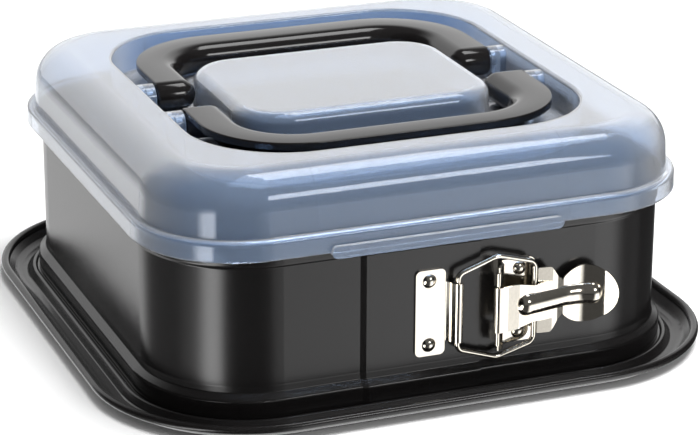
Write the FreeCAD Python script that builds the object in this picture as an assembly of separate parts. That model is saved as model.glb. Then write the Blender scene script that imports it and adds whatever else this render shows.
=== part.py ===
import FreeCAD, Part
import math
import os

os.makedirs("parts", exist_ok=True)

V = FreeCAD.Vector

# Overall (mm). The pan stands on z = 0, the latch is on the -Y side.
# Half widths are measured from the middle of the pan to the outer face.
rim_half = 143.1          # outer edge of the base's rolled flange
wall_half = 121.0         # ring wall
pan_core = 72.5           # corner centres of base and ring, measured along x and y
cover_core = 79.0         # corner centres of the cover's outside
top_z = 111.0             # top of the cover

# Sheet thicknesses
base_t = 0.9
band_t = 0.8
plate_t = 1.0
lever_t = 0.9
cover_t = 1.6

# Clearances
seat_gap = 0.1            # ring in its groove, cover on the ring's rim
lap_gap = 0.06            # between the two layers where the band overlaps
hole_gap = 0.05           # rivet in its hole
run_gap = 0.08            # wire in the catch's roll, lever's roll on its bar
pin_gap = 0.06            # handle pins in the cover's bosses
side_gap = 0.4            # lever between the ears
foot_room = 0.75          # ring's foot beside the groove's inner wall
skirt_room = 0.5          # ring's rolled rim inside the cover's skirt
arm_room = 0.9            # handle's arms beside the cover's bosses
join = 1.5                # how far two pieces of one sheet reach into each other

# Base
floor_z = 7.45            # top of the raised floor
groove_z = 3.1            # top of the groove
groove_out = 1.7          # groove's outer bend beyond the ring's foot, middle of the sheet
ridge_w = 1.2             # from there to the ridge
ridge_z = 4.5
flange_w = 3.0            # from the ridge down to the flat flange
flange_rise = 4.2         # sloping strip between the flat flange and the bead
bead_r = 1.95
bead_z = 6.0
bead_turn = 300           # degrees the edge is rolled round

# Ring
crease_z = 13.6           # where the foot's slope starts
collar_z = 71.0           # collar line under the cover
collar_out = 0.8
curl_r = 1.3              # mid-sheet radius of the rolled rim
curl_turn = 280
foot_step = 3.7           # foot outside the wall

# Cover
skirt_z = 75.3
skirt_lean = 0.2
ledge_z = 84.4
ledge_r = 0.9             # bend between ledge and dome wall, middle of the sheet
dome_step = 1.7           # dome wall at the ledge outside the ring wall
dome_taper = 1.5
shoulder_r = 16.5
recess_x = 91.8           # recess at the top, half sizes
recess_y = 96.4
recess_r = 44.5
recess_floor = 95.5
recess_draft = 0.077      # lean of the recess wall, mm per mm
recess_bend = 2.4
rim_r = 1.8               # rounded edge round the recess
island_x = 61.6
island_y = 46.3
island_r = 22.0
island_z = 110.8
island_draft = 0.056
island_round = 5.6
grip_x = 53.5             # snap strip, half length
grip_h = 5.4
grip_z = 76.0
grip_out = 2.0

# Handles
pivot_y = 21.3
pivot_z = 103.2
drum_r = 7.1              # drum ends and the half-round inner side
pin_r = 2.6
pin_len = 3.0
arm_out = 82.8
arm_in = 63.6
grip_far = 63.9           # outer edge of the grip from the pivot
grip_wide = 18.0
hand_r = 42.0             # outer corners of the U
hand_r_in = 24.0
web_t = 2.0
lip_t = 1.8
lip_h = 3.4
boss_r = 6.4

# Latch, all symmetric about latch_z; "out" is the distance in front of the ring wall
latch_z = 40.2
catch_l = -13.2
catch_r = 0.6
catch_h = 19.8            # half height
catch_rivet_x = -6.9
rivet_z = 14.75
roll_turn = 270           # degrees the catch's sheet goes round the wire
wire_r = 1.2
wire_x = 5.2
wire_out = 5.0
roll_h = 13.6
wire_left_h = 17.4
wire_mid_x = 23.6
wire_mid_h = 23.6
wire_right_x = 41.3
wire_right_h = 18.6
bracket_l = 26.2
bracket_r = 43.0
bracket_h = 19.3
lever_rivet_x = 35.7
hinge_x = 22.6
hinge_out = 8.4
hinge_r = 1.1
knuckle_h = 10.4
tongue_h = 8.4            # lever's half heights and where they change
wing_l = 42.75
wing_r = 49.0
wing_h = 15.2
slit_h = 8.6              # wings are cut free of the tongue above this, as far as slit_r
slit_r = 50.8
neck_x = 54.4
neck_h = 9.3
thumb_x = 66.0
thumb_r = 13.3
rib_l = 31.0              # pressed rib
rib_right = 75.0
rib_r = 5.6
rib_rise = 2.7
rivet_r = 1.5
head_r = 3.2
head_h = 1.7
tail_r = 2.4
tail_h = 0.6
lap_l = -38.0             # band's outer layer starts to step out
lap_step = 2.6
lap_r = 17.0              # its end edge


def rounded(points, z=0.0):
    """Open wire through (x, y, radius) points, corners rounded by their radius."""
    pts = [V(p[0], p[1], z) for p in points]
    edges = []
    last = pts[0]
    for i in range(1, len(pts) - 1):
        r = points[i][2]
        a = (pts[i - 1] - pts[i]).normalize()
        b = (pts[i + 1] - pts[i]).normalize()
        half = a.getAngle(b) / 2
        run = r / math.tan(half)
        start = pts[i] + a * run
        end = pts[i] + b * run
        middle = (a + b).normalize()
        mid = pts[i] + middle * (r / math.sin(half) - r)
        edges.append(Part.makeLine(last, start))
        edges.append(Part.Arc(start, mid, end).toShape())
        last = end
    edges.append(Part.makeLine(last, pts[-1]))
    return edges


def arc(cx, cy, r, a0, a1):
    """Arc edge from angle a0 to a1 in degrees."""
    ends = [math.radians(a) for a in (a0, (a0 + a1) / 2, a1)]
    return Part.Arc(*[V(cx + r * math.cos(a), cy + r * math.sin(a), 0) for a in ends]).toShape()


def sheet(edges, t):
    """Face of thickness t laid evenly about a path in the xy plane."""
    return Part.Wire(edges).makeOffset2D(t / 2, 0, True, False)


def upright(shape):
    """Turn a shape drawn in x and y so that its y points up."""
    turned = shape.copy()
    turned.rotate(V(0, 0, 0), V(1, 0, 0), 90)
    return turned


def square_ring(profile, core):
    """Carry a profile (half width, height) round a rounded square with corner centres at core."""
    side = upright(profile)
    side.translate(V(0, -core, 0))
    straight = side.extrude(V(0, 2 * core, 0))
    side.translate(V(0, 2 * core, 0))
    corner = side.revolve(V(core, core, 0), V(0, 0, 1), 90)
    quarter = straight.fuse(corner)
    parts = []
    for k in range(1, 4):
        turned = quarter.copy()
        turned.rotate(V(0, 0, 0), V(0, 0, 1), 90 * k)
        parts.append(turned)
    return quarter.fuse(parts)


def rect_wire(hx, hy, r, z):
    """Rounded rectangle, half sizes hx and hy."""
    x = hx - r
    y = hy - r
    edges = []
    corners = [(x, -y, -90), (x, y, 0), (-x, y, 90), (-x, -y, 180)]
    for i, (cx, cy, a) in enumerate(corners):
        turn = arc(cx, cy, r, a, a + 90)
        edges.append(turn)
        nx, ny, na = corners[(i + 1) % 4]
        end = turn.valueAt(turn.LastParameter)
        rad = math.radians(na)
        start = V(nx + r * math.cos(rad), ny + r * math.sin(rad), 0)
        edges.append(Part.makeLine(end, start))
    wire = Part.Wire(edges)
    wire.translate(V(0, 0, z))
    return wire


def slab(hx, hy, r, z0, z1):
    return Part.Face(rect_wire(hx, hy, r, z0)).extrude(V(0, 0, z1 - z0))


def tapered(hx, hy, r, z_top, z_low, draft):
    """Rounded block whose walls lean out by draft towards z_low."""
    grow = draft * (z_top - z_low)
    low = rect_wire(hx + grow, hy + grow, r + grow, z_low)
    return Part.makeLoft([low, rect_wire(hx, hy, r, z_top)], True, True)


def from_front(shape):
    """Place a shape drawn in x and out, its distance in front of the ring wall, at the latch's height."""
    placed = shape.copy()
    placed.rotate(V(0, 0, 0), V(1, 0, 0), 180)
    placed.translate(V(0, -wall_half, latch_z))
    return placed


def tall(face, half):
    """Extrude a face drawn in x and out to half above and half below the latch's middle."""
    flat = face.copy()
    flat.translate(V(0, 0, -half))
    return from_front(flat.extrude(V(0, 0, 2 * half)))


def cutter(edges_or_wire, out_from=-2.0, out_to=30.0):
    """Prism of an outline drawn in x and height above the latch's middle."""
    wire = Part.Wire(edges_or_wire)
    face = upright(Part.Face(wire))
    face.translate(V(0, -wall_half - out_from, latch_z))
    return face.extrude(V(0, out_from - out_to, 0))


def front_rod(x, out_from, out_to, r, dz):
    """Round bar along y, out_from .. out_to in front of the wall."""
    return Part.makeCylinder(r, out_to - out_from, V(x, -wall_half - out_from, latch_z + dz), V(0, -1, 0))


def upright_rod(x, out, r, half):
    return Part.makeCylinder(r, 2 * half, V(x, -wall_half - out, latch_z - half), V(0, 0, 1))


def edges_at(shape, z):
    """Edges that lie at height z."""
    return [e for e in shape.Edges if abs(e.BoundBox.ZMin - z) < 0.01 and abs(e.BoundBox.ZMax - z) < 0.01]


def save(shape, name):
    solid = shape.removeSplitter()
    if solid.ShapeType != "Solid":
        solids = solid.Solids
        if len(solids) != 1:
            raise ValueError(name + " came out in " + str(len(solids)) + " pieces")
        solid = solids[0]
    if not solid.isValid():
        raise ValueError(name + " is not valid")
    solid.exportStep("parts/" + name + ".step")
    print(name, round(solid.Volume / 1000, 2), "cm3", len(solid.Faces), "faces")
    return solid


# Base plate: floor, step down into the groove, ridge, low flange that rises into a rolled bead
floor_mid = floor_z - base_t / 2
groove_mid = groove_z - base_t / 2
low_mid = base_t / 2
bead_mid = bead_r - base_t / 2
bead_x = rim_half - bead_r
flange_top = bead_x - bead_mid
foot_half = wall_half + foot_step
groove_in = foot_half - band_t - foot_room - base_t / 2
groove_far = foot_half + groove_out - base_t / 2
ridge_half = groove_far + ridge_w
floor_edge = groove_in - 1.4
floor_half = floor_edge - 1.3 - join
base_path = rounded([
    (floor_half - join, floor_mid, 0),
    (floor_edge, floor_mid, 1.3),
    (groove_in, groove_mid, 0.8),
    (groove_far, groove_mid, 0.7),
    (ridge_half, ridge_z - base_t / 2 + 0.4, 0.8),
    (ridge_half + flange_w, low_mid, 1.4),
    (flange_top - flange_rise, low_mid, 5.0),
    (flange_top, bead_z - 1.1, 1.0),
    (flange_top, bead_z, 0),
])
base_path.append(arc(bead_x, bead_z, bead_mid, 180, 180 - bead_turn))
base = square_ring(sheet(base_path, base_t), pan_core)
base = base.fuse(slab(floor_half, floor_half, floor_half - pan_core, floor_z - base_t, floor_z))
save(base, "base_plate")

# Ring band: foot in the groove, slope, wall, collar and rolled rim
wall_mid = wall_half - band_t / 2
foot_mid = foot_half - band_t / 2
foot_z = groove_z + seat_gap + band_t / 2
# the rounded corner under the cover's ledge rests on the rolled rim
dome_half = wall_half + dome_step
corner_x = dome_half - cover_t / 2 + ledge_r
corner_z = ledge_z - cover_t / 2 + ledge_r
curl_x = wall_mid + collar_out + curl_r
seat = ledge_r + cover_t / 2 + curl_r + band_t / 2 + seat_gap
curl_z = corner_z - math.sqrt(seat ** 2 - (corner_x - curl_x) ** 2)
foot_part = [
    (foot_mid, foot_z, 0),
    (foot_mid, crease_z - 2.4, 1.0),
    (wall_mid + 0.5, crease_z, 1.2),
    (wall_mid, crease_z + 3.0, 4.0),
    (wall_mid, collar_z - 1.0, 1.5),
    (wall_mid + collar_out, collar_z + 0.4, 1.5),
]
band_path = rounded(foot_part + [(wall_mid + collar_out, curl_z, 0)])
band_path.append(arc(curl_x, curl_z, curl_r, 180, 180 - curl_turn))
band = square_ring(sheet(band_path, band_t), pan_core)
lap_top = curl_z - 2.6
lap_face = upright(sheet(rounded(foot_part + [(wall_mid + collar_out, lap_top, 0)]), band_t))
lap_face.rotate(V(0, 0, 0), V(0, 0, 1), -90)
lap_out = band_t + lap_gap
lap_mid = lap_l + lap_step
gap_box = Part.makeBox(lap_step + 0.2, 12, 90, V(lap_l, -wall_half - 6, 0))
band = band.cut(gap_box)
near = lap_face.copy()
near.translate(V(lap_l, 0, 0))
far = lap_face.copy()
far.translate(V(lap_mid, -lap_out, 0))
step_out = Part.makeLoft([near.OuterWire, far.OuterWire], True, True)
layer = far.extrude(V(lap_r - lap_mid, 0, 0))
band = band.fuse([step_out, layer])
rivet_spots = [(catch_rivet_x, rivet_z), (catch_rivet_x, -rivet_z), (lever_rivet_x, rivet_z),
               (lever_rivet_x, -rivet_z)]
for x, dz in rivet_spots:
    start = lap_gap / 2 if x < lap_r else -3.0
    band = band.cut(front_rod(x, start, 4.0, rivet_r + hole_gap, dz))
save(band, "ring_band")

# Catch bracket: plate, tab and roll round the wire's left bar
catch_mid = lap_out + plate_t / 2
roll_r = wire_r + run_gap + plate_t / 2
leave = 150.0
leave_x = wire_x + roll_r * math.cos(math.radians(leave))
leave_out = wire_out + roll_r * math.sin(math.radians(leave))
catch_path = rounded([
    (catch_l, catch_mid, 0),
    (catch_r + 0.4, catch_mid, 1.0),
    (wire_x - roll_r - 1.0, wire_out - 1.9, 0.9),
    (leave_x - 0.85, leave_out - 1.47, 0),
])
catch_path.append(Part.makeLine(catch_path[-1].valueAt(catch_path[-1].LastParameter),
                                V(leave_x, leave_out, 0)))
catch_path.append(arc(wire_x, wire_out, roll_r, leave, leave - roll_turn))
catch = tall(sheet(catch_path, plate_t), catch_h)
plate_edge = rect_wire((catch_r - catch_l) / 2, catch_h, 2.4, 0)
plate_edge.translate(V((catch_r + catch_l) / 2, 0, 0))
tab_edge = rect_wire(8.0, roll_h, 0.3, 0)
tab_edge.translate(V(catch_r + 6.0, 0, 0))
catch = catch.common(cutter(plate_edge).fuse(cutter(tab_edge)))
for dz in (rivet_z, -rivet_z):
    catch = catch.cut(front_rod(catch_rivet_x, -1.0, 4.0, rivet_r + hole_gap, dz))
save(catch, "catch_bracket")


def rivet(x, dz, plate_top, back, tail):
    """Domed rivet; tail is the peened end inside the pan, or nothing where the band overlaps."""
    sphere_r = (head_r ** 2 + head_h ** 2) / (2 * head_h)
    ball = Part.makeSphere(sphere_r, V(x, -wall_half - plate_top - head_h + sphere_r, latch_z + dz))
    head = ball.common(front_rod(x, plate_top, plate_top + head_h + 1.0, head_r + 1.0, dz))
    body = head.fuse(front_rod(x, back, plate_top + 0.3, rivet_r, dz))
    if tail:
        body = body.fuse(front_rod(x, back - tail_h, back, tail_r, dz))
    return body


save(rivet(catch_rivet_x, rivet_z, lap_out + plate_t, lap_gap, False), "catch_rivet_upper")
save(rivet(catch_rivet_x, -rivet_z, lap_out + plate_t, lap_gap, False), "catch_rivet_lower")
save(rivet(lever_rivet_x, rivet_z, plate_t, -band_t, True), "lever_rivet_upper")
save(rivet(lever_rivet_x, -rivet_z, plate_t, -band_t, True), "lever_rivet_lower")

# Lever bracket: plate, flange that leans out to the hinge bar, window for the lever's roll
ear_path = rounded([
    (bracket_r, plate_t / 2, 0),
    (bracket_l + 0.5, plate_t / 2, 1.0),
    (bracket_l - 0.3, hinge_out - 2.6, 1.4),
    (hinge_x + 0.3, hinge_out, 0),
])
bracket = tall(sheet(ear_path, plate_t), bracket_h)
outline = rect_wire((bracket_r - hinge_x) / 2 + 1.0, bracket_h, 2.6, 0)
outline.translate(V((bracket_r + hinge_x) / 2 - 1.0, 0, 0))
bracket = bracket.common(cutter(outline))
window_h = knuckle_h + side_gap
window = rect_wire(6.0, window_h, 0.5, 0)
window.translate(V(hinge_x, 0, 0))
bracket = bracket.cut(cutter(window, 2.6, 30.0))
bracket = bracket.fuse(upright_rod(hinge_x, hinge_out, hinge_r, bracket_h - 2.6))
for dz in (rivet_z, -rivet_z):
    bracket = bracket.cut(front_rod(lever_rivet_x, -1.0, 4.0, rivet_r + hole_gap, dz))
save(bracket, "lever_bracket")

# Wire bail: closed six-sided loop of round wire, its left bar inside the catch's roll
corners = [
    (wire_x, -wire_left_h, 3.4),
    (wire_mid_x, -wire_mid_h, 6.0),
    (wire_right_x, -wire_right_h, 4.0),
    (wire_right_x, wire_right_h, 4.0),
    (wire_mid_x, wire_mid_h, 6.0),
    (wire_x, wire_left_h, 3.4),
]
loop = rounded([(wire_x, 0.0, 0)] + corners + [(wire_x, 0.0, 0)])
spine = upright(Part.Wire(loop))
spine.translate(V(0, -wall_half - wire_out, latch_z))
section = Part.Wire(Part.makeCircle(wire_r, V(wire_x, -wall_half - wire_out, latch_z), V(0, 0, 1)))
bail = spine.makePipeShell([section], True, False)
save(bail, "wire_bail")

# Clamp lever: stamped sheet rolled round the hinge bar, tongue, wings, neck, round thumb tab and rib
knuckle_r = hinge_r + run_gap + lever_t / 2
tongue_end = (42.5, 7.1)
neck_start = (52.0, 5.4)
lever_line = [
    (hinge_x, hinge_out + knuckle_r, 0),
    (26.0, hinge_out + knuckle_r, 3.0),
    (33.0, 8.1, 8.0),
    (*tongue_end, 10.0),
    (*neck_start, 4.0),
    (56.0, 3.9, 5.0),
    (65.0, 3.8, 12.0),
    (73.5, 6.4, 8.0),
    (thumb_x + thumb_r + 0.3, 10.8, 0),
]
lever_path = [arc(hinge_x, hinge_out, knuckle_r, -35, -270)] + rounded(lever_line)


def bow_tie():
    """Lever's outline seen from the front, x and height above the latch's middle."""
    meet = math.radians(145)
    jx = thumb_x + thumb_r * math.cos(meet)
    jh = thumb_r * math.sin(meet)
    side = [
        (19.0, 0.0, 0),
        (19.0, knuckle_h, 0.1),
        (31.0, knuckle_h, 6.0),
        (40.0, tongue_h, 2.0),
        (wing_l, tongue_h, 0.1),
        (wing_l, wing_h, 0.5),
        (wing_r, wing_h, 1.6),
        (neck_x - 1.4, neck_h, 2.8),
        (neck_x + 1.0, neck_h - 0.4, 2.0),
        (jx, jh, 0),
    ]
    upper = rounded(side)
    lower = rounded([(x, -h, r) for x, h, r in side])
    thumb = Part.Arc(V(jx, jh, 0), V(thumb_x + thumb_r, 0, 0), V(jx, -jh, 0)).toShape()
    return Part.__sortEdges__(upper + [thumb] + lower)


def wing_zone(x0, x1, sign):
    """Prism above (sign 1) or below the slit, from x0 to x1."""
    zone = rect_wire((x1 - x0) / 2, 5.0, 0.2, 0)
    zone.translate(V((x0 + x1) / 2, sign * (slit_h + 5.0), 0))
    return cutter(zone)


def rib_rod(r, x0, x1):
    """Round rod with ball ends that follows the lever, sunk behind its face."""
    sink = rib_r - rib_rise - lever_t / 2
    run = [(x0 + rib_r, 8.3 - sink, 0), (43.0, 7.0 - sink, 20.0), (56.5, 4.1 - sink, 16.0),
           (64.5, 4.1 - sink, 16.0), (x1 - rib_r, 6.1 - sink, 0)]
    rod_path = from_front(Part.Wire(rounded(run)))
    ends = [V(run[k][0], -wall_half - run[k][1], latch_z) for k in (0, -1)]
    aim = V(run[1][0] - run[0][0], run[0][1] - run[1][1], 0)
    section = Part.Wire(Part.makeCircle(r, ends[0], aim))
    rod = rod_path.makePipeShell([section], True, False)
    return rod.fuse([Part.makeSphere(r, end) for end in ends])


outline = cutter(bow_tie())
lever = tall(sheet(lever_path, lever_t), 16.0).common(outline)
# the wings' left ends are set back towards the wall, so the sheet there is cut free and bent
slope = (neck_start[1] - tongue_end[1]) / (neck_start[0] - tongue_end[0])
wing_path = rounded([
    (wing_l - 0.5, 4.9, 0),
    (slit_r - 0.8, tongue_end[1] + slope * (slit_r - 0.8 - tongue_end[0]), 3.0),
    (slit_r + 0.6, tongue_end[1] + slope * (slit_r + 0.6 - tongue_end[0]), 0),
])
wing_sheet = tall(sheet(wing_path, lever_t), 16.0).common(outline)
for sign in (1, -1):
    lever = lever.cut(wing_zone(wing_l - 0.3, slit_r, sign))
    lever = lever.fuse(wing_sheet.common(wing_zone(wing_l - 0.3, slit_r + 0.4, sign)))
front_side = [V(x, out, 0) for x, out, r in lever_line]
front_side += [V(thumb_x + thumb_r + 0.3, 25, 0), V(hinge_x, 25, 0), front_side[0]]
above = tall(Part.Face(Part.makePolygon(front_side)), 8.0)
lever = lever.fuse(rib_rod(rib_r, rib_l, rib_right).common(above))
lever = lever.cut(rib_rod(rib_r - lever_t, rib_l, rib_right))
stop_x = wire_right_x - wire_r - 0.35
for sign in (1, -1):
    stop = rect_wire(lever_t / 2, 1.4, 0.2, 0)
    stop.translate(V(stop_x - lever_t / 2, sign * 6.3, 0))
    lever = lever.fuse(cutter(stop, wire_out, 7.3))
save(lever, "clamp_lever")

# Cover: skirt, ledge and dome carried round a rounded square, a recess with a hollow island sunk in its top
half_t = cover_t / 2
skirt_half = curl_x + curl_r + band_t / 2 + skirt_room + cover_t
top_half = dome_half - dome_taper - shoulder_r
dome_path = rounded([
    (skirt_half - half_t, skirt_z + half_t, 0),
    (skirt_half - skirt_lean - half_t, ledge_z - half_t, 1.4),
    (dome_half - half_t, ledge_z - half_t, ledge_r),
    (dome_half - half_t - dome_taper, top_z - half_t, shoulder_r - half_t),
    (top_half - join, top_z - half_t, 0),
])
cover = square_ring(sheet(dome_path, cover_t), cover_core)
cover = cover.fuse(slab(top_half, top_half, top_half - cover_core, top_z - cover_t, top_z))
tub = tapered(recess_x + cover_t, recess_y + cover_t, recess_r + cover_t, top_z - half_t,
              recess_floor - cover_t, -recess_draft)
tub = tub.makeFillet(recess_bend + cover_t, edges_at(tub, recess_floor - cover_t))
well = tapered(recess_x, recess_y, recess_r, top_z, recess_floor, -recess_draft)
well = well.makeFillet(recess_bend, edges_at(well, recess_floor))
cover = cover.fuse(tub).cut(well).removeSplitter()
rim = [e for e in edges_at(cover, top_z) if e.BoundBox.XMax < recess_x + 0.1 and e.BoundBox.XMin > -recess_x - 0.1]
cover = cover.makeFillet(rim_r, rim)
crown_r = min(island_round, 0.8 * (island_z - recess_floor))
island = tapered(island_x, island_y, island_r, island_z, recess_floor - half_t, island_draft)
island = island.makeFillet(crown_r, edges_at(island, island_z))
inside = tapered(island_x - cover_t, island_y - cover_t, island_r - cover_t, island_z - cover_t,
                 recess_floor - 3 * cover_t, island_draft)
inside = inside.makeFillet(crown_r - cover_t, edges_at(inside, island_z - cover_t))
cover = cover.fuse(island).cut(inside)
wall_x = recess_x - recess_draft * (top_z - pivot_z) + half_t
boss_face = arm_out + arm_room


def tombstone(x0, x1, r, floor):
    """Half-round block standing on the recess floor, from x0 to x1."""
    drum = Part.makeCylinder(r, x1 - x0, V(x0, pivot_y, pivot_z), V(1, 0, 0))
    foot = Part.makeBox(x1 - x0, 2 * r, pivot_z - floor, V(x0, pivot_y - r, floor))
    return drum.fuse(foot)


boss = tombstone(boss_face, wall_x, boss_r, recess_floor - 0.4)
boss_inside = tombstone(boss_face + pin_len + 1.8, recess_x + 2 * cover_t, boss_r - cover_t,
                        recess_floor - cover_t - 0.5)
pin_hole = Part.makeCylinder(pin_r + pin_gap, pin_len + 0.5, V(boss_face, pivot_y, pivot_z), V(1, 0, 0))
bosses = []
voids = []
for angle in (0, 180):
    for flip in (False, True):
        for shape, target in ((boss, bosses), (boss_inside, voids), (pin_hole, voids)):
            one = shape.mirror(V(0, 0, 0), V(0, 1, 0)) if flip else shape.copy()
            one.rotate(V(0, 0, 0), V(0, 0, 1), angle)
            target.append(one)
cover = cover.fuse(bosses).cut(voids)
strip_out = skirt_half + grip_out
strip_in = skirt_half - half_t
for sign in (1, -1):
    strip = upright(Part.Face(rect_wire(grip_x, grip_h / 2, grip_h / 2 - 0.01, 0)))
    strip.translate(V(0, sign * strip_out, grip_z))
    cover = cover.fuse(strip.extrude(V(0, sign * (strip_in - strip_out), 0)))
save(cover, "cover")

# Handle: U-shaped and hollow, a flat top with a short outer lip and a half-round inner side, drum ends
# with stub pins. Drawn about its pivot, x across, y from the pivot to the grip and z up, then placed.
def u_block(grow_out, grow_in, start, z0, z1):
    """U-shaped block; grow_out widens it outwards, grow_in moves its inner side inwards."""
    far = grip_far + grow_out
    near_y = grip_far - grip_wide - grow_in
    out = arm_out + grow_out
    inner = arm_in - grow_in
    r_out = hand_r + grow_out
    r_in = hand_r_in - grow_in
    edge = rounded([(out, start, 0), (out, far, r_out), (-out, far, r_out), (-out, start, 0)], z0)
    back = rounded([(-inner, start, 0), (-inner, near_y, r_in), (inner, near_y, r_in), (inner, start, 0)], z0)
    ends = [Part.makeLine(V(-out, start, z0), V(-inner, start, z0)),
            Part.makeLine(V(inner, start, z0), V(out, start, z0))]
    return Part.Face(Part.Wire(edge + [ends[0]] + back + [ends[1]])).extrude(V(0, 0, z1 - z0))


def round_inner(block, grow_in, r):
    """Round the long edges of a U-shaped block's inner side."""
    inner = arm_in - grow_in + 0.01
    edges = []
    for e in block.Edges:
        box = e.BoundBox
        if box.ZLength < 0.01 and box.XMin > -inner and box.XMax < inner:
            edges.append(e)
    return block.makeFillet(r, edges)


bore_r = drum_r - web_t
round_r = drum_r - 0.05   # leaves a hair's breadth of flat so that the two roundings don't meet
handle = round_inner(u_block(0, 0, 0.0, -drum_r, drum_r), 0, round_r)
hollow = round_inner(u_block(-lip_t, -web_t, drum_r + 1.5, -bore_r, bore_r), -web_t, round_r - web_t)
handle = handle.cut(hollow)
handle = handle.cut(u_block(2.0, -drum_r, drum_r + 1.5, -drum_r - 1, drum_r - lip_h))
pivot_ball = Part.makeSphere(drum_r, V(arm_in + drum_r, 0, 0))
barrel = Part.makeCylinder(drum_r, arm_out - arm_in - drum_r, V(arm_in + drum_r, 0, 0), V(1, 0, 0))
bore = Part.makeCylinder(bore_r, 30.0, V(arm_in + drum_r + 1.0, 0, 0), V(1, 0, 0))
pin = Part.makeCylinder(pin_r, arm_out + arm_room + pin_len - arm_in - drum_r,
                        V(arm_in + drum_r, 0, 0), V(1, 0, 0))
turned = [s.mirror(V(0, 0, 0), V(1, 0, 0)) for s in (pivot_ball, barrel, bore, pin)]
handle = handle.fuse([pivot_ball, barrel] + turned[:2]).cut([bore, turned[2]]).fuse([pin, turned[3]])
handle.translate(V(0, pivot_y, pivot_z))
save(handle, "handle_rear")
front = handle.copy()
front.rotate(V(0, 0, 0), V(0, 0, 1), 180)
save(front, "handle_front")
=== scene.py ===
import bpy
import bmesh
import math
from mathutils import Matrix, Vector


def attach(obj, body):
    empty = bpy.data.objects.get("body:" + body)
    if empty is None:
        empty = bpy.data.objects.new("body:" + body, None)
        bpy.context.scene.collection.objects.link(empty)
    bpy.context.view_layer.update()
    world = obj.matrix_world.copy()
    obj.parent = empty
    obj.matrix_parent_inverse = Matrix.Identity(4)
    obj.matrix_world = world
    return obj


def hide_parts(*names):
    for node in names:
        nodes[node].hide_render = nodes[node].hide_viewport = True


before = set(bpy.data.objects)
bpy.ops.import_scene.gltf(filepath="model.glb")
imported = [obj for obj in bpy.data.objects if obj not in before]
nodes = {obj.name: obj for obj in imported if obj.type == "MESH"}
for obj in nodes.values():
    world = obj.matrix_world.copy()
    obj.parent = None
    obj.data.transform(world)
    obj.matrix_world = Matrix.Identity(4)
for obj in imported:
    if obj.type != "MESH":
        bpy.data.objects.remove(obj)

scene = bpy.context.scene
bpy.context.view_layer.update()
mm = 0.001
print("frame loaded,", len(nodes), "nodes")


def newMaterial(name):
    mat = bpy.data.materials.new(name)
    mat.use_nodes = True
    tree = mat.node_tree
    return mat, tree, tree.nodes["Principled BSDF"]


def link(tree, a, b):
    tree.links.new(a, b)


def feed(tree, value, socket):
    # value is a number or another node's output
    if isinstance(value, (int, float)):
        socket.default_value = value
    else:
        link(tree, value, socket)


def calculate(tree, operation, *values):
    node = tree.nodes.new("ShaderNodeMath")
    node.operation = operation
    for value, socket in zip(values, node.inputs):
        feed(tree, value, socket)
    return node.outputs["Value"]


def between(tree, factor, a, b):
    node = tree.nodes.new("ShaderNodeMix")
    for value, name in ((factor, "Factor"), (a, "A"), (b, "B")):
        feed(tree, value, node.inputs[name])
    return node.outputs["Result"]


def shaderBetween(tree, factor, a, b):
    node = tree.nodes.new("ShaderNodeMixShader")
    for value, socket in zip((factor, a, b), node.inputs):
        link(tree, value, socket)
    return node.outputs["Shader"]


def spread(tree, source, low, high, outLow, outHigh):
    # stretches the values from low to high onto another range
    node = tree.nodes.new("ShaderNodeMapRange")
    node.inputs["From Min"].default_value = low
    node.inputs["From Max"].default_value = high
    node.inputs["To Min"].default_value = outLow
    node.inputs["To Max"].default_value = outHigh
    link(tree, source, node.inputs["Value"])
    return node.outputs["Result"]


def twoTone(tree, source, low, high, colorA, colorB):
    ramp = tree.nodes.new("ShaderNodeValToRGB")
    ramp.color_ramp.elements[0].position = low
    ramp.color_ramp.elements[0].color = (*colorA, 1)
    ramp.color_ramp.elements[1].position = high
    ramp.color_ramp.elements[1].color = (*colorB, 1)
    link(tree, source, ramp.inputs["Fac"])
    return ramp.outputs["Color"]


def finishNode(obj, mat):
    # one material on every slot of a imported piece
    obj.data.materials.clear()
    obj.data.materials.append(mat)
    for face in obj.data.polygons:
        face.material_index = 0


# fine grain shared by all finishes
grainDetail = 3.0


def makeGrainGroup():
    group = bpy.data.node_groups.new("fineGrain", "ShaderNodeTree")
    face = group.interface
    for name in ("Scale", "Strength", "Depth"):
        face.new_socket(name, in_out="INPUT", socket_type="NodeSocketFloat")
    face.new_socket("Mask", in_out="OUTPUT", socket_type="NodeSocketFloat")
    face.new_socket("Normal", in_out="OUTPUT", socket_type="NodeSocketVector")
    inp = group.nodes.new("NodeGroupInput")
    out = group.nodes.new("NodeGroupOutput")
    coord = group.nodes.new("ShaderNodeTexCoord")
    noise = group.nodes.new("ShaderNodeTexNoise")
    noise.inputs["Detail"].default_value = grainDetail
    bump = group.nodes.new("ShaderNodeBump")
    link(group, coord.outputs["Object"], noise.inputs["Vector"])
    link(group, inp.outputs["Scale"], noise.inputs["Scale"])
    link(group, noise.outputs["Fac"], bump.inputs["Height"])
    link(group, inp.outputs["Strength"], bump.inputs["Strength"])
    link(group, inp.outputs["Depth"], bump.inputs["Distance"])
    link(group, noise.outputs["Fac"], out.inputs["Mask"])
    link(group, bump.outputs["Normal"], out.inputs["Normal"])
    return group


grainGroup = makeGrainGroup()


def addGrain(tree, shader, look):
    # roughness follows the grain's mask; the bump is left to the finishes that have one
    node = tree.nodes.new("ShaderNodeGroup")
    node.node_tree = grainGroup
    node.inputs["Scale"].default_value = look["grain"]
    rough = spread(tree, node.outputs["Mask"], *look["roughMask"], *look["rough"])
    link(tree, rough, shader.inputs["Roughness"])
    return node


def addToneAndBump(tree, shader, grain, look):
    grain.inputs["Strength"].default_value, grain.inputs["Depth"].default_value = look["bump"]
    color = twoTone(tree, grain.outputs["Mask"], *look["toneMask"], *look["tones"])
    link(tree, color, shader.inputs["Base Color"])
    link(tree, grain.outputs["Normal"], shader.inputs["Normal"])


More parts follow.
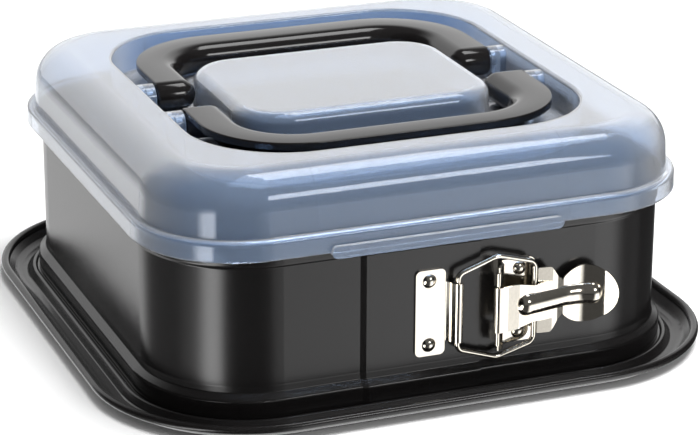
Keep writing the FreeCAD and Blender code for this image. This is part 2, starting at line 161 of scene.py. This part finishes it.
coating = {"tones": ((0.004, 0.0035, 0.0035), (0.013, 0.012, 0.012)), "toneMask": (0.35, 0.7),
           "grain": 2600.0, "bump": (0.25, 0.00005), "rough": (0.19, 0.27), "roughMask": (0.3, 0.7),
           "ior": 1.5}


def coatedSteel():
    mat, tree, shader = newMaterial("coatedSteel")
    addToneAndBump(tree, shader, addGrain(tree, shader, coating), coating)
    shader.inputs["IOR"].default_value = coating["ior"]
    return mat


plating = {"tones": ((0.78, 0.73, 0.64), (0.84, 0.79, 0.70)), "toneMask": (0.3, 0.7), "grain": 900.0,
           "bump": (0.05, 0.00002), "rough": (0.10, 0.17), "roughMask": (0.3, 0.7)}


def platedSteel():
    mat, tree, shader = newMaterial("platedSteel")
    addToneAndBump(tree, shader, addGrain(tree, shader, plating), plating)
    shader.inputs["Metallic"].default_value = 1.0
    return mat


handlePlastic = {"tones": ((0.006, 0.0055, 0.0055), (0.011, 0.010, 0.010)), "toneMask": (0.3, 0.7),
                 "grain": 3200.0, "bump": (0.05, 0.00002), "rough": (0.09, 0.15), "roughMask": (0.3, 0.7)}


def blackPlastic():
    mat, tree, shader = newMaterial("blackPlastic")
    addToneAndBump(tree, shader, addGrain(tree, shader, handlePlastic), handlePlastic)
    return mat


# bluish where one looks straight through, nearly white where one looks along the sheet: the bluish tint is
# the plastic's own milkiness, the near white at a slant is painted glare standing in for white reflections
milkyAndGlare = {"face": (0.42, 0.54, 0.74), "edge": (0.98, 0.97, 0.96), "turn": (0.15, 0.62), "blend": 0.5,
         "grain": 45.0, "rough": (0.045, 0.065), "roughMask": (0.3, 0.7), "clearness": 0.80, "ior": 1.49}


def clearPlastic():
    mat, tree, shader = newMaterial("clearPlastic")
    addGrain(tree, shader, milkyAndGlare)
    # base colour runs from the plastic's bluish tint when facing to a painted near-white glare at a slant
    weight = tree.nodes.new("ShaderNodeLayerWeight")
    weight.inputs["Blend"].default_value = milkyAndGlare["blend"]
    link(tree, twoTone(tree, weight.outputs["Facing"], *milkyAndGlare["turn"], milkyAndGlare["face"], milkyAndGlare["edge"]),
         shader.inputs["Base Color"])
    shader.inputs["Transmission Weight"].default_value = milkyAndGlare["clearness"]
    shader.inputs["IOR"].default_value = milkyAndGlare["ior"]
    return mat


coatedMat = coatedSteel()
platedMat = platedSteel()
blackMat = blackPlastic()
clearMat = clearPlastic()
print("materials ready")

for name, obj in nodes.items():
    if name in ("base_plate", "ring_band"):
        finishNode(obj, coatedMat)
    elif name == "cover":
        finishNode(obj, clearMat)
    elif not name.startswith("handle"):
        finishNode(obj, platedMat)

sharpAngle = math.radians(32)


def newPiece(name, bm, mat):
    mesh = bpy.data.meshes.new(name)
    bmesh.ops.recalc_face_normals(bm, faces=bm.faces)
    bm.to_mesh(mesh)
    bm.free()
    mesh.materials.append(mat)
    mesh.polygons.foreach_set("use_smooth", [True] * len(mesh.polygons))
    mesh.set_sharp_from_angle(angle=sharpAngle)
    obj = bpy.data.objects.new(name, mesh)
    scene.collection.objects.link(obj)
    return obj


def bridge(bm, rows):
    # quads between neighbouring closed rows of points, or triangles where a row is a single point
    for a, b in zip(rows, rows[1:]):
        for i in range(len(a)):
            j = (i + 1) % len(a)
            corners = []
            for v in (a[i], a[j], b[j], b[i]):
                if v not in corners:
                    corners.append(v)
            if len(corners) > 2:
                bm.faces.new(corners)


def closedTube(bm, rows):
    bridge(bm, rows)
    bm.faces.new(rows[0])
    bm.faces.new(rows[-1])


# handles: millimetres, drawn about the pivot as in the solid, x across and y towards the grip
grip = {"pivot": (21.3, 103.2), "round": 7.1, "wall": 2.0, "armOut": 82.8, "armIn": 63.6, "corner": 21.9,
        "rOut": 42.0, "rIn": 24.0, "lipThick": 1.8, "lipTall": 3.4, "soft": 0.7, "edge": 0.3,
        "pin": 2.6, "pinEnd": 86.7, "boreFrom": 1.0, "turns": 18, "arcs": 16, "softSteps": 4,
        "ballSteps": 9, "endSteps": 3, "around": 36}


def gripSection():
    # (base, offset outwards, height): base 0 counts from the inner side, base 1 from the outer side
    r, bore = grip["round"], grip["round"] - grip["wall"]
    low, thick, edge, soft = r - grip["lipTall"], -grip["lipThick"], grip["edge"], grip["soft"]
    points = []
    for k in range(grip["arcs"] + 1):
        a = -math.pi / 2 - math.pi * k / grip["arcs"]
        points.append((0, r + r * math.cos(a), r * math.sin(a)))
    for k in range(grip["softSteps"] + 1):
        a = math.pi / 2 * (1 - k / grip["softSteps"])
        points.append((1, soft * math.cos(a) - soft, r - soft + soft * math.sin(a)))
    points += [(1, 0, low + edge), (1, -edge, low), (1, thick + edge, low), (1, thick, low + edge),
               (1, thick, bore)]
    for k in range(grip["arcs"] + 1):
        a = -math.pi * 1.5 + math.pi * k / grip["arcs"]
        points.append((0, r + bore * math.cos(a), bore * math.sin(a)))
    return points


def gripStations():
    # inner point, outer point and outward direction along the U
    y = grip["corner"]
    inX, outX = grip["armIn"] - grip["rIn"], grip["armOut"] - grip["rOut"]
    found = [((grip["armIn"], 0), (grip["armOut"], 0), (1, 0))]
    for k in range(grip["turns"] + 1):
        a = math.pi / 2 * k / grip["turns"]
        c, t = math.cos(a), math.sin(a)
        found.append(((inX + grip["rIn"] * c, y + grip["rIn"] * t),
                      (outX + grip["rOut"] * c, y + grip["rOut"] * t), (c, t)))
    mirrored = [((-p[0], p[1]), (-q[0], q[1]), (-n[0], n[1])) for p, q, n in reversed(found)]
    return found + mirrored


def drumProfile():
    # (along the pivot, radius): ball end, rim, bore and pin
    r, start, end = grip["round"], grip["armIn"] + grip["round"], grip["armOut"]
    bore, soft, edge = r - grip["wall"], grip["soft"], grip["edge"]
    boreStart = start + grip["boreFrom"]
    points = []
    for k in range(grip["ballSteps"] + 1):
        a = math.pi / 2 * k / grip["ballSteps"]
        points.append((start - r * math.cos(a), r * math.sin(a)))
    for k in range(grip["endSteps"] + 1):
        a = math.pi / 2 * k / grip["endSteps"]
        points.append((end - soft + soft * math.sin(a), r - soft + soft * math.cos(a)))
    pin, pinEnd = grip["pin"], grip["pinEnd"]
    points += [(end, bore + edge), (end - edge, bore), (boreStart, bore), (boreStart, pin),
               (pinEnd - edge, pin), (pinEnd, pin - edge), (pinEnd, 0)]
    return points


def makeHandle(name, node, body, facing):
    # facing is 1 for the rear handle and -1 for the front one, which is turned half round
    py, pz = grip["pivot"]

    def place(bm, x, y, z):
        return bm.verts.new((x * facing * mm, (y + py) * facing * mm, (z + pz) * mm))

    bm = bmesh.new()
    rows = []
    for p, q, n in gripStations():
        row = []
        for base, off, z in gripSection():
            start = q if base else p
            row.append(place(bm, start[0] + n[0] * off, start[1] + n[1] * off, z))
        rows.append(row)
    closedTube(bm, rows)
    turns = [math.tau * k / grip["around"] for k in range(grip["around"])]
    for side in (1, -1):
        rows = []
        for x, r in drumProfile():
            if r == 0:
                rows.append([place(bm, side * x, 0, 0)] * len(turns))
            else:
                rows.append([place(bm, side * x, r * math.cos(a), r * math.sin(a)) for a in turns])
        bridge(bm, rows)
    obj = newPiece(name, bm, blackMat)
    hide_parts(node)
    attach(obj, body)


makeHandle("handleRear", "handle_rear", "rear_handle", 1)
makeHandle("handleFront", "handle_front", "front_handle", -1)
print("handles ready")


def wedge(half, tall, sunk):
    # low triangular section of a rib or seam, its foot sunk in the sheet: (across, outwards)
    return (-half, -sunk), (0, tall), (half, -sunk)


# snap strips of the cover: slanting ribs on their faces, in millimetres
ribs = {"face": 128.5, "half": 50.5, "pitch": 1.7, "low": 74.2, "high": 77.8, "lean": 2.0, "wide": 0.7,
        "tall": 0.25, "sunk": 0.1}


def makeRibs(name, facing):
    bm = bmesh.new()
    count = int(2 * ribs["half"] / ribs["pitch"])
    section = wedge(ribs["wide"] / 2, ribs["tall"], ribs["sunk"])
    for k in range(count + 1):
        x = -ribs["half"] + k * ribs["pitch"]
        rows = []
        for z, dx in ((ribs["low"], -ribs["lean"] / 2), (ribs["high"], ribs["lean"] / 2)):
            row = []
            for off, out in section:
                y = (ribs["face"] + out) * facing
                row.append(bm.verts.new(((x + dx + off) * facing * mm, y * mm, z * mm)))
            rows.append(row)
        closedTube(bm, rows)
    obj = newPiece(name, bm, clearMat)
    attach(obj, "cover")


makeRibs("frontRibs", -1)
makeRibs("rearRibs", 1)

# fine lines that the mould's joints leave on the cover: long ones over wall and shoulder, short ones on the
# skirt, as (y, z) in millimetres, with the shoulder's angles in degrees
seams = {"skirt": ((126.5, 76.2), (126.32, 83.0)), "wallFoot": (122.62, 86.2), "center": (105.4, 94.5),
         "round": 16.5, "from": 5, "to": 82, "steps": 14, "long": (-57.5, 57.5), "short": (-74.0, 74.0),
         "half": 0.2, "tall": 0.14, "sunk": 0.12}


def makeSeam(bm, x, line, facing):
    rows = []
    for (y, z), (ny, nz) in line:
        row = []
        for off, out in wedge(seams["half"], seams["tall"], seams["sunk"]):
            row.append(bm.verts.new(((x + off) * mm, (y + ny * out) * facing * mm, (z + nz * out) * mm)))
        rows.append(row)
    closedTube(bm, rows)


def makeSeams(name, facing):
    bm = bmesh.new()
    cy, cz = seams["center"]
    wall = [(seams["wallFoot"], (1, 0))]
    for k in range(seams["steps"] + 1):
        a = math.radians(seams["from"] + (seams["to"] - seams["from"]) * k / seams["steps"])
        wall.append(((cy + seams["round"] * math.cos(a), cz + seams["round"] * math.sin(a)),
                     (math.cos(a), math.sin(a))))
    skirt = [(p, (1, 0)) for p in seams["skirt"]]
    for x in seams["long"]:
        makeSeam(bm, x, wall, facing)
    for x in seams["long"] + seams["short"]:
        makeSeam(bm, x, skirt, facing)
    obj = newPiece(name, bm, clearMat)
    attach(obj, "cover")


makeSeams("frontSeams", -1)
makeSeams("rearSeams", 1)
print("cover details ready")


def bands(tree, source, stops):
    # levels along one part of a direction, which runs from -1 to 1
    peak = max(level for at, level in stops)
    ramp = tree.nodes.new("ShaderNodeValToRGB")
    elements = ramp.color_ramp.elements
    while len(elements) < len(stops):
        elements.new(1.0)
    for k, (at, level) in enumerate(stops):
        shade = level / peak
        elements[k].position = (at + 1) / 2
        elements[k].color = (shade, shade, shade, 1)
    link(tree, spread(tree, source, -1, 1, 0, 1), ramp.inputs["Fac"])
    return spread(tree, ramp.outputs["Color"], 0, 1, 0, peak)


def components(tree, direction):
    split = tree.nodes.new("ShaderNodeSeparateXYZ")
    link(tree, direction, split.inputs["Vector"])
    return split.outputs


# floor: white, and in gloss a studio of light and dark strips. The pan's upright walls mirror it. The one in
# front has a tall narrow light for the ring's rounded corner. Far out it is plain white, so no edge shows.
ground = {"half": 4.0, "white": (0.93, 0.93, 0.93, 1), "rough": 0.9, "plain": (0.6, 1.4),
          "front": ((-1.0, 0.3), (-0.84, 0.18), (-0.70, 2.0), (-0.43, 2.1), (-0.375, 1.68), (-0.33, 1.4),
                    (-0.08, 0.06), (0.62, 0.06), (0.67, 6.2), (0.79, 6.2), (0.87, 0.6), (1.0, 0.25)),
          "behind": ((-0.65, 0.06), (-0.45, 1.3), (0.45, 1.3), (0.65, 0.25)), "turn": (-0.05, 0.05),
          "grazing": (0.05, 0.24), "grazingLevel": 0.25}


def mirroredFloor(tree):
    geometry = tree.nodes.new("ShaderNodeNewGeometry")
    toward = components(tree, geometry.outputs["Incoming"])
    inFront = spread(tree, toward["Y"], *ground["turn"], 0, 1)
    sides = between(tree, inFront, bands(tree, toward["X"], ground["behind"]),
                    bands(tree, toward["X"], ground["front"]))
    steep = spread(tree, toward["Z"], *ground["grazing"], ground["grazingLevel"], 1.0)
    glow = tree.nodes.new("ShaderNodeEmission")
    link(tree, calculate(tree, "MULTIPLY", sides, steep), glow.inputs["Strength"])
    return glow.outputs["Emission"]


def makeFloor():
    bm = bmesh.new()
    bmesh.ops.create_grid(bm, x_segments=1, y_segments=1, size=ground["half"])
    mesh = bpy.data.meshes.new("floor")
    bm.to_mesh(mesh)
    bm.free()
    floor = bpy.data.objects.new("floor", mesh)
    scene.collection.objects.link(floor)
    mat, tree, shader = newMaterial("floorWhite")
    shader.inputs["Base Color"].default_value = ground["white"]
    shader.inputs["Roughness"].default_value = ground["rough"]
    shader.inputs["Specular IOR Level"].default_value = 0.0
    ray = tree.nodes.new("ShaderNodeLightPath")
    coord = tree.nodes.new("ShaderNodeTexCoord")
    away = tree.nodes.new("ShaderNodeVectorMath")
    away.operation = "LENGTH"
    link(tree, coord.outputs["Object"], away.inputs[0])
    far = calculate(tree, "MULTIPLY", spread(tree, away.outputs["Value"], *ground["plain"], 0.0, 1.0),
                    ray.outputs["Is Camera Ray"])
    plain = tree.nodes.new("ShaderNodeEmission")
    seen = shaderBetween(tree, far, shader.outputs["BSDF"], plain.outputs["Emission"])
    surface = shaderBetween(tree, ray.outputs["Is Glossy Ray"], seen, mirroredFloor(tree))
    link(tree, surface, tree.nodes["Material Output"].inputs["Surface"])
    mesh.materials.append(mat)


# world: plain white to the camera, a soft fill for the rest, and in gloss a bright low wall at the back
sky = {"fill": 0.42, "up": 0.10, "wall": 1.2, "back": (0.15, 0.45), "above": (0.55, 0.80),
       "sides": ((-0.64, 0.05), (-0.44, 1.0), (0.70, 1.0), (0.84, 0.05))}


def makeWorld():
    world = bpy.data.worlds.new("studio")
    scene.world = world
    world.use_nodes = True
    tree = world.node_tree
    background = tree.nodes["Background"]
    background.inputs["Color"].default_value = (1, 1, 1, 1)
    ray = tree.nodes.new("ShaderNodeLightPath")
    coord = tree.nodes.new("ShaderNodeTexCoord")
    toward = components(tree, coord.outputs["Generated"])
    back = spread(tree, toward["Y"], *sky["back"], 0.0, sky["wall"] - sky["up"])
    low = spread(tree, toward["Z"], *sky["above"], 1.0, 0.0)
    wall = calculate(tree, "MULTIPLY_ADD", back, low, sky["up"])
    gloss = calculate(tree, "MULTIPLY", wall, bands(tree, toward["X"], sky["sides"]))
    strength = sky["fill"]
    for rayKind, seen in (("Is Glossy Ray", gloss), ("Is Transmission Ray", 1.0), ("Is Camera Ray", 1.0)):
        strength = between(tree, ray.outputs[rayKind], strength, seen)
    link(tree, strength, background.inputs["Strength"])


# metres and watts; only the mirrored lamps show in gloss
lamps = {"overhead": {"place": (0.3, -0.2, 1.5), "aim": (0, 0, 0.05), "size": (1.2, 0.9),
                      "watts": 30, "mirrored": False},
         "front": {"place": (0.47, -1.23, 0.69), "aim": (-0.03, -0.12, 0.1), "size": (0.36, 0.3),
                   "watts": 2.8, "mirrored": True},
         "top": {"place": (0.425, 0.05, 1.31), "aim": (-0.03, -0.115, 0.107), "size": (0.6, 0.4),
                 "watts": 4.2, "mirrored": True}}


def softLight(name, look):
    data = bpy.data.lights.new(name, "AREA")
    data.shape = "RECTANGLE"
    data.size, data.size_y = look["size"]
    data.energy = look["watts"]
    lamp = bpy.data.objects.new(name, data)
    scene.collection.objects.link(lamp)
    lamp.location = look["place"]
    lamp.rotation_euler = (Vector(look["aim"]) - Vector(look["place"])).to_track_quat("-Z", "Y").to_euler()
    lamp.visible_glossy = look["mirrored"]


makeFloor()
makeWorld()
for name, look in lamps.items():
    softLight(name, look)

# metres, degrees, and millimetres for the lens
lens = {"place": (-0.4337, -1.1047, 0.4789), "turn": 21.667, "dip": 20.262, "roll": 0.270, "focal": 138.54,
        "sensor": 36, "near": 0.05}


def makeCamera():
    turn, dip, roll = (math.radians(lens[k]) for k in ("turn", "dip", "roll"))
    ahead = Vector((math.sin(turn) * math.cos(dip), math.cos(turn) * math.cos(dip), -math.sin(dip)))
    right = Vector((math.cos(turn), -math.sin(turn), 0))
    up = right.cross(ahead)
    side = right * math.cos(roll) + up * math.sin(roll)
    top = up * math.cos(roll) - right * math.sin(roll)
    data = bpy.data.cameras.new("camera")
    data.lens = lens["focal"]
    data.sensor_width = lens["sensor"]
    data.clip_start = lens["near"]
    camera = bpy.data.objects.new("camera", data)
    scene.collection.objects.link(camera)
    turned = Matrix((side, top, -ahead)).transposed().to_4x4()
    camera.matrix_world = Matrix.Translation(lens["place"]) @ turned
    scene.camera = camera


makeCamera()
scene.view_settings.view_transform = "Standard"
print("studio ready")
